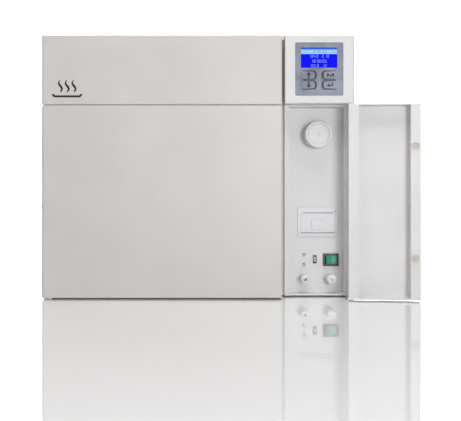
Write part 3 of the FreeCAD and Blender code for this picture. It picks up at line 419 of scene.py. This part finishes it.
# for each key, which way its frame's turn faces, and its sign: strokes of (path, width at each point), in
# millimetres from the key's middle
ARROW = [([(0, -5.0), (0, -2), (0, 0.7)], [3.2, 3.2, 3.2]), ([(0, 0.5), (0, 2.8), (0, 5.2)], [8.2, 4.1, 0.2])]
ZIGZAG = [(-3.8, -3.4), (-3.4, 3.0), (-1.6, 0.8), (1, -2.8), (3.6, 0.8), (5.4, 3.0), (5.8, -3.4)]
SIGNS = {
    "key_up": (1, ARROW),
    "key_down": (1, [([(x, -z) for x, z in path], wide) for path, wide in ARROW]),
    "key_menu": (-1, [(ZIGZAG, 2.3)]),
    "key_enter": (-1, [([(4.6, 3.8), (4.6, 0.6), (3.8, -0.7), (1.5, -0.9), (-1, -0.9)], 2.1),
                       ([(-0.6, -0.9), (-2.8, -0.9), (-5.2, -0.9)], [6.4, 3.2, 0.2])]),
}


def make_key_signs():
    """The half-open frame and the sign printed on each key."""
    for name, (side, sign) in SIGNS.items():
        low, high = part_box(name)
        front, back = low.y - 0.06 * MM, low.y + 0.02 * MM
        shapes = [stroke(*key_frame(low, high, side), front, back)]
        # the sign stands a little towards the frame's open side
        shapes += [stroke(np.array(path) + (-0.8 * side, 0), wide, front, back) for path, wide in sign]
        middle = (low + high) / 2
        shapes = [moved(shape, middle.x, middle.z) for shape in shapes]
        build(name + "_sign", shapes, "slate_ink", name)


# ---- service bay ------------------------------------------------------------------------------------------


def make_filter_cap():
    """The filter's cap: a turned disc with a round rim, a shallow dish and a centre dimple."""
    low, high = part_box("filter_cap")
    widest, deep = (high.x - low.x) / 2 / MM, (high.y - low.y) / MM
    middle = (low + high) / 2
    dish = [(0.4, -3.2), (1.5, -3.1), (2.1, -2.5), (2.8, -2.3), (8, -2.25), (15.2, -2.3), (16.6, -2.2)]
    rim = [(17.4, -1.7), (18, -0.8), (18.5, -0.2), (19.2, 0), (20.4, 0), (21.4, -0.25), (22, -0.9),
           (widest, -2.0)]
    back = [(widest, 0.8 - deep), (widest - 0.8, -deep), (12.2, -deep), (12.2, -6.2), (0.4, -6.2)]
    rings = turned(dish + rim + [(widest, -0.5 * deep)] + back, (middle.x, low.y, middle.z))
    build("filter_cap_turned", [skin(rings)], "moulding", "filter_cap", ["filter_cap"])


def make_couplings():
    """The two quick couplings: turned, with an eased nose, a catch groove and a bore for the poppet."""
    for name in ("fill", "drain"):
        low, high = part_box(name + "_coupling")
        size, deep = (high.x - low.x) / 2 / MM, (high.y - low.y) / MM
        middle = (low + high) / 2
        nose = [(2.6, -28), (2.6, -0.5), (3.1, 0), (size - 1.6, 0), (size - 0.7, -0.3), (size - 0.15, -0.9)]
        groove = [(size, -1.6), (size, -4.2), (size - 0.5, -4.7), (size - 0.6, -5.6), (size - 0.5, -6.6)]
        stem = [(size, -7.2), (size, -22.9), (5.9, -23), (5.9, -deep), (0.5, -deep)]
        rings = turned(nose + groove + stem, (middle.x, low.y, middle.z))
        build(name + "_coupling_turned", [skin(rings)], "coupling", "casing",
              [name + "_coupling"])


def turned_basis(name, from_rest):
    """A joint, and a level basis turned about the upright by an angle worked out from the joint's range."""
    joint = next(each for each in record["behaviour"]["joints"] if each["name"] == name)
    angle = math.radians(from_rest(*joint["range_deg"]))
    across = np.array([math.cos(angle), math.sin(angle), 0.0])
    return joint, np.stack([across, [0.0, 0.0, 1.0], np.cross(across, [0.0, 0.0, 1.0])])


def laid(shape, centre, basis):
    """A flat skin laid into a basis: its x and z along the first two rows, its depth against the third."""
    points = shape[0][:, [0, 2, 1]] * (1, 1, -1)
    return np.array(centre) + points @ basis, shape[1], shape[2]


def make_bumpers():
    """Two buffers on the service door's free rim: a round-edged ring with a felt pad set into it.

    At rest the door is open by a little less than half a turn, so they stand askew of the front by the rest.
    """
    basis = turned_basis("service_door_hinge", lambda low, high: -(180 + low))[1]
    low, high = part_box("door_bumpers")
    size = 7.0
    ring = [(4.5, -0.8), (4.5, 0.4), (4.8, 0.75), (5.3, 0.8), (6.2, 0.75), (6.8, 0.4), (size, -0.1),
            (size, -0.8)]
    pad = [(4.3, -0.75), (4.3, 0.1), (3.9, 0.3), (0.4, 0.35)]
    rings, pads = [], []
    for z in (low.z + size * MM, high.z - size * MM):
        centre = ((low.x + high.x) / 2, (low.y + high.y) / 2, z)
        rings.append(skin(turned(ring, centre, basis), closed=True))
        pads.append(skin(turned(pad, centre, basis)))
    build("bumper_rings", rings, "bumper", "service_door", ["door_bumpers"])
    build("bumper_pads", pads, "grey_pad", "service_door")


def make_rocker_marks():
    """The rocker's two marks, a bar and a ring, one on each half of its shallow V."""
    # half the rocker's width, how deep its V is, and how far out of the pivot the marks stand
    half_wide, sink, out = 8.7, 1.2, 5.9
    joint, rest = turned_basis("rocker_tilt", lambda low, high: (high - low) / 2)
    pivot = np.array(joint["pos_m"])
    slope = math.degrees(math.atan2(sink, half_wide))
    circle = np.linspace(0, 2 * math.pi, 25)
    ring = np.stack([1.5 * np.cos(circle), 1.5 * np.sin(circle)], axis=-1)
    marks = ((-1, [(0, -1.8), (0, 0), (0, 1.8)], slope), (1, ring, -slope))
    shapes = []
    for side, path, lean in marks:
        basis = turned_basis("rocker_tilt", lambda low, high: (high - low) / 2 + lean)[1]
        centre = pivot + np.array([side * half_wide / 2 * MM, 0, out * MM]) @ rest
        centre[2] = pivot[2]
        shapes.append(laid(stroke(path, 0.7, -0.06 * MM, 0.05 * MM), centre, basis))
    build("rocker_marks", shapes, "pale_mark", "rocker")


def make_usb_tongue():
    """The socket's pale tongue, which stops short of its ends."""
    low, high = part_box("usb_port")
    left, right, short = low.x + 1.5 * MM, low.x + 4.9 * MM, 2.1 * MM
    tongue = plate(left, right, low.z + short, high.z - short, 0.3 * MM, low.y + 1.2 * MM, low.y + 12 * MM,
                   0.2 * MM)
    build("usb_tongue", [tongue], "grey_pad", "casing")


# ---- trays and fixings ------------------------------------------------------------------------------------


def slab(xs, ys, solid, low, high):
    """A level slab from low to high, cut by lines at xs and ys into cells, of which the solid ones stand.

    Every solid cell has a quad above and one below, and wherever a solid cell meets an open one, or the
    outside, an upright quad closes its side.
    """
    wide, long = len(xs), len(ys)
    flat = np.stack(np.meshgrid(xs, ys, indexing="ij"), axis=-1).reshape(-1, 2)
    points = np.vstack([np.column_stack([flat, np.full(len(flat), z)]) for z in (low, high)])
    number = np.arange(wide * long).reshape(wide, long)
    lift = wide * long
    i, j = np.nonzero(solid)
    corners = [number[i, j], number[i + 1, j], number[i + 1, j + 1], number[i, j + 1]]
    quads = [np.stack([corner + lift for corner in corners], axis=-1), np.stack(corners[::-1], axis=-1)]
    ringed = np.pad(solid, 1)
    for step, first, second in (((-1, 0), 3, 0), ((1, 0), 1, 2), ((0, -1), 0, 1), ((0, 1), 2, 3)):
        bare = ~ringed[1 + step[0] + i, 1 + step[1] + j]
        start, stop = corners[first][bare], corners[second][bare]
        quads.append(np.stack([start, stop, stop + lift, start + lift], axis=-1))
    return points, np.vstack(quads), np.empty((0, 3), int)


def make_trays():
    """Three instrument trays: a punched floor with square holes, and a low wall with a rounded rim."""
    low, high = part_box("trays")
    count, tall = 3, 14
    pitch = (high.z - low.z - tall * MM) / (count - 1)
    holes_x, holes_y = 14, 30
    xs = np.linspace(low.x + 0.5 * MM, high.x - 0.5 * MM, 2 * holes_x + 2)
    ys = np.linspace(low.y + 0.5 * MM, high.y - 0.5 * MM, 2 * holes_y + 2)
    cell = np.add.outer(np.arange(len(xs) - 1) % 2, np.arange(len(ys) - 1) % 2)
    middle = (low + high) / 2
    half_x, half_y = (high.x - low.x) / 2, (high.y - low.y) / 2
    # the wall's section: how far each of its loops lies in from the edge, and how far up
    loops = [(0.0, 0.2), (0.0, 13.2), (0.3, 13.8), (0.8, tall), (1.3, 13.8), (1.4, 13.2), (1.0, 12.8),
             (1.0, 0.6)]
    shapes = []
    for level in range(count):
        base = low.z + level * pitch
        shapes.append(slab(xs, ys, cell < 2, base, base + 1 * MM))
        rings = []
        for inset, up in loops:
            flat = outline(half_x - inset * MM, half_y - inset * MM, (6 - inset) * MM)
            flat = flat + (middle.x, middle.y)
            rings.append(np.column_stack([flat, np.full(len(flat), base + up * MM)]))
        shapes.append(skin(np.stack(rings), closed=True))
    build("trays_punched", shapes, "stainless", "casing", ["trays"])


def make_screws():
    """Six dome-headed screws with hexagon sockets in the rear panel."""
    low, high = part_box("cover_screws")
    head = [(1.3, 0.6), (1.3, 1.35), (1.5, 1.6), (2.4, 1.5), (3.3, 1.1), (3.9, 0.5), (4, 0), (4, -0.5),
            (2, -0.5), (2, -12), (0.4, -12)]
    hexed = [1, 1, 0.5] + [0] * (len(head) - 3)
    basis = np.array([[-1.0, 0.0, 0.0], [0.0, 0.0, 1.0], [0.0, 1.0, 0.0]])
    shapes = []
    for x in (low.x + 4 * MM, (low.x + high.x) / 2, high.x - 4 * MM):
        for z in (low.z + 4 * MM, high.z - 4 * MM):
            shapes.append(skin(turned(head, (x, high.y - 1.9 * MM, z), basis, 24, hexed)))
    build("rear_screws", shapes, "steel", "casing", ["cover_screws"])


def make_flange_bolts():
    """Twelve hexagon-headed bolts round the chamber's flange."""
    low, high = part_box("flange_bolts")
    middle = (low + high) / 2
    circle = (high.x - middle.x - 6 * MM) / math.cos(math.radians(15))
    length = (high.y - low.y) / MM
    head = [(0.5, 0), (4.6, 0), (5.15, -0.4), (5.15, -3.4), (4, -3.4), (4, -length + 0.8), (3.2, -length),
            (0.5, -length)]
    hexed = [0, 0, 1, 1, 0, 0, 0, 0]
    shapes = []
    for turn in np.radians(np.arange(15, 360, 30)):
        spot = (middle.x + circle * math.cos(turn), low.y, middle.z + circle * math.sin(turn))
        shapes.append(skin(turned(head, spot, LEVEL, 36, hexed)))
    build("flange_bolts_hex", shapes, "steel", "casing", ["flange_bolts"])


def make_feet():
    """Four turned rubber feet, each with eased edges and a shallow hollow in its sole.

    They are taller than the casing's stand-off, so their tops reach through its floor and end just inside.
    """
    low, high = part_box("rubber_feet")
    radius, tall = 16, 4.5
    foot = [(5, 1.2), (6, 0.3), (6.6, 0), (14, 0), (14.8, 0.3), (radius, 3.9), (radius, tall - 0.1),
            (15.6, tall), (0.5, tall)]
    basis = np.array([[1.0, 0, 0], [0, 1.0, 0], [0, 0, 1.0]])
    reach = radius * MM
    shapes = [skin(turned(foot, (x, y, low.z), basis)) for x in (low.x + reach, high.x - reach)
              for y in (low.y + reach, high.y - reach)]
    build("turned_feet", shapes, "rubber", "casing", ["rubber_feet"])


def make_fan_rotor():
    """A seven-bladed rotor: each blade's lens-shaped section is set steeper at the hub than at the tip.

    At a radius r the section is a closed lens along its chord; it is turned by the pitch and wrapped round
    the axis at r, and the stations from hub to tip are joined into one skin.
    """
    low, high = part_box("fan_rotor")
    middle = (low + high) / 2
    basis = np.array([[-1.0, 0, 0], [0, 0, 1.0], [0, 1.0, 0]])
    blades, root, tip, half_tall = 7, 18.5, 53, 9
    drum = [(3.2, -half_tall), (19, -half_tall), (20, -8), (20, 8), (19, half_tall), (3.2, half_tall)]
    shapes = [skin(turned(drum, middle, basis), closed=True)]
    stations = np.linspace(root, tip, 10)
    share = (stations - root) / (tip - root)
    pitch = np.radians(52 - 24 * share)
    chord = 19 + 9 * np.sin(math.pi * (0.15 + 0.6 * share))
    loop = np.linspace(0, 2 * math.pi, 24, endpoint=False)
    along = np.cos(loop)[None, :] * chord[:, None] / 2
    thick = np.sin(loop)[None, :] * 0.8 + 1.6 * (1 - np.cos(loop)[None, :] ** 2)
    across = along * np.cos(pitch)[:, None] - thick * np.sin(pitch)[:, None]
    height = np.clip(along * np.sin(pitch)[:, None] + thick * np.cos(pitch)[:, None], -half_tall, half_tall)
    out = stations[:, None]
    for blade in range(blades):
        angle = across / out + 2 * math.pi * blade / blades + 0.35 * share[:, None]
        local = np.stack([out * np.cos(angle), out * np.sin(angle), height], axis=-1) * MM
        shapes.append(skin(np.array(middle) + local @ basis))
    build("fan_rotor_bladed", shapes, "black_plastic", "fan_rotor", ["fan_rotor"])


def make_rating_plate():
    """A rating plate on the rear, ruled with five lines of uneven length and without lettering."""
    low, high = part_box("rear_panel")
    back = high.y
    left, base = low.x + 60 * MM, low.z + 150 * MM
    wide, tall = 90 * MM, 52 * MM
    face = plate(left, left + wide, base, base + tall, 3 * MM, back + 0.6 * MM, back - 0.1 * MM, -0.2 * MM)
    build("rating_plate", [face], "aluminium", "casing")
    rules = []
    for row in range(5):
        path = np.array([[6, 0], [30, 0], [54 + 10 * (row % 3), 0]]) + (0, 9 + 8 * row)
        rules.append(moved(stroke(path, 1.2, back + 0.62 * MM, back + 0.5 * MM), left, base))
    build("rating_plate_rules", rules, "black_ink", "casing")


for maker in (make_front_mark, make_screen, make_key_signs, make_filter_cap, make_couplings, make_bumpers,
              make_rocker_marks, make_usb_tongue, make_trays, make_screws, make_flange_bolts, make_feet,
              make_fan_rotor, make_rating_plate):
    maker()


# ---- studio -----------------------------------------------------------------------------------------------


def make_stage():
    """A pale glossy floor that runs up into the backdrop: a flat run, a quarter circle and a wall, in m."""
    half_wide, near, back, radius, top = 7, -4.5, 2.6, 1.0, 5.0
    across = np.linspace(-half_wide, half_wide, 3)
    bend = np.linspace(0, math.pi / 2, 17)
    run = np.concatenate([[near], back + radius * np.sin(bend), [back + radius]])
    rise = np.concatenate([[0.0], radius * (1 - np.cos(bend)), [top]])
    x, index = np.meshgrid(across, np.arange(len(run)), indexing="ij")
    number = np.arange(x.size).reshape(x.shape)
    corners = [number[:-1, :-1], number[1:, :-1], number[1:, 1:], number[:-1, 1:]]
    faces = np.stack(corners, axis=-1).reshape(-1, 4)
    mesh = bpy.data.meshes.new("studio_sweep")
    mesh.from_pydata(np.stack([x, run[index], rise[index]], axis=-1).reshape(-1, 3), [], faces)
    floor = bpy.data.objects.new("studio_sweep", mesh)
    bpy.context.scene.collection.objects.link(floor)
    # white acrylic under a sheet of glass: a pale body below two clear surfaces, which mirror more at a slant
    material, tree, shader = new_material("glass_on_white_acrylic", Roughness=0.035, IOR=1.5, Coat_Weight=0.8,
                                          Coat_Roughness=0.02, Coat_IOR=1.52)
    where = add(tree, "ShaderNodeTexCoord").outputs["Object"]
    cloud = add(tree, "ShaderNodeTexNoise", {"Vector": where, "Scale": 1.1, "Detail": 1.0})
    body = add(tree, "ShaderNodeMix", {0: cloud.outputs["Fac"], 6: linear("f0f0f0"), 7: linear("f2f2f2")},
               data_type="RGBA")
    tree.links.new(body.outputs[2], shader.inputs["Base Color"])
    mesh.materials.append(material)


def lamp(name, spot, aim, wide, tall, watts):
    """A rectangular softbox at spot, turned towards aim."""
    light = bpy.data.lights.new(name, "AREA")
    light.shape = "RECTANGLE"
    light.size, light.size_y, light.energy = wide, tall, watts
    holder = bpy.data.objects.new(name, light)
    holder.location = spot
    direction = Vector(aim) - Vector(spot)
    holder.rotation_euler = direction.to_track_quat("-Z", "Y").to_euler()
    bpy.context.scene.collection.objects.link(holder)


def make_lights():
    """A small key softbox and a wide one behind the camera, one overhead, and two on the backdrop."""
    lamp("key_softbox", (0.55, -2.4, 0.35), (0.1, -0.3, 0.2), 0.5, 0.5, 12.8)
    lamp("front_softbox", (0.2, -3.2, 0.36), (0, -0.2, 0.2), 1.8, 0.7, 13)
    lamp("top_softbox", (0, -1.05, 2.3), (0, -0.85, 0), 2.2, 1.2, 44)
    lamp("backdrop_left", (-2.0, 1.6, 1.9), (-1.0, 3.6, 1.0), 2.0, 2.0, 170)
    lamp("backdrop_right", (2.0, 1.6, 1.9), (1.0, 3.6, 1.0), 2.0, 2.0, 170)
    world = bpy.data.worlds.new("white_surround")
    world.use_nodes = True
    background = world.node_tree.nodes["Background"]
    background.inputs["Color"].default_value = linear("ffffff")
    background.inputs["Strength"].default_value = 0.11
    bpy.context.scene.world = world


def make_camera():
    """The camera, square to the front before the casing's middle, with its picture shifted off its axis."""
    before, height = 1.15, 0.2073
    casing_low, casing_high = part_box("top_cover")
    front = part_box("front_fascia")[0].y
    camera = bpy.data.cameras.new("camera")
    camera.sensor_width = 36
    camera.lens = 55.35
    camera.shift_x = 0.0697
    camera.shift_y = -0.0835
    holder = bpy.data.objects.new("camera", camera)
    holder.location = ((casing_low.x + casing_high.x) / 2, front - before, height)
    holder.rotation_euler = (math.pi / 2, 0, 0)
    bpy.context.scene.collection.objects.link(holder)
    bpy.context.scene.camera = holder


make_stage()
make_lights()
make_camera()
bpy.context.scene.view_settings.view_transform = "Standard"
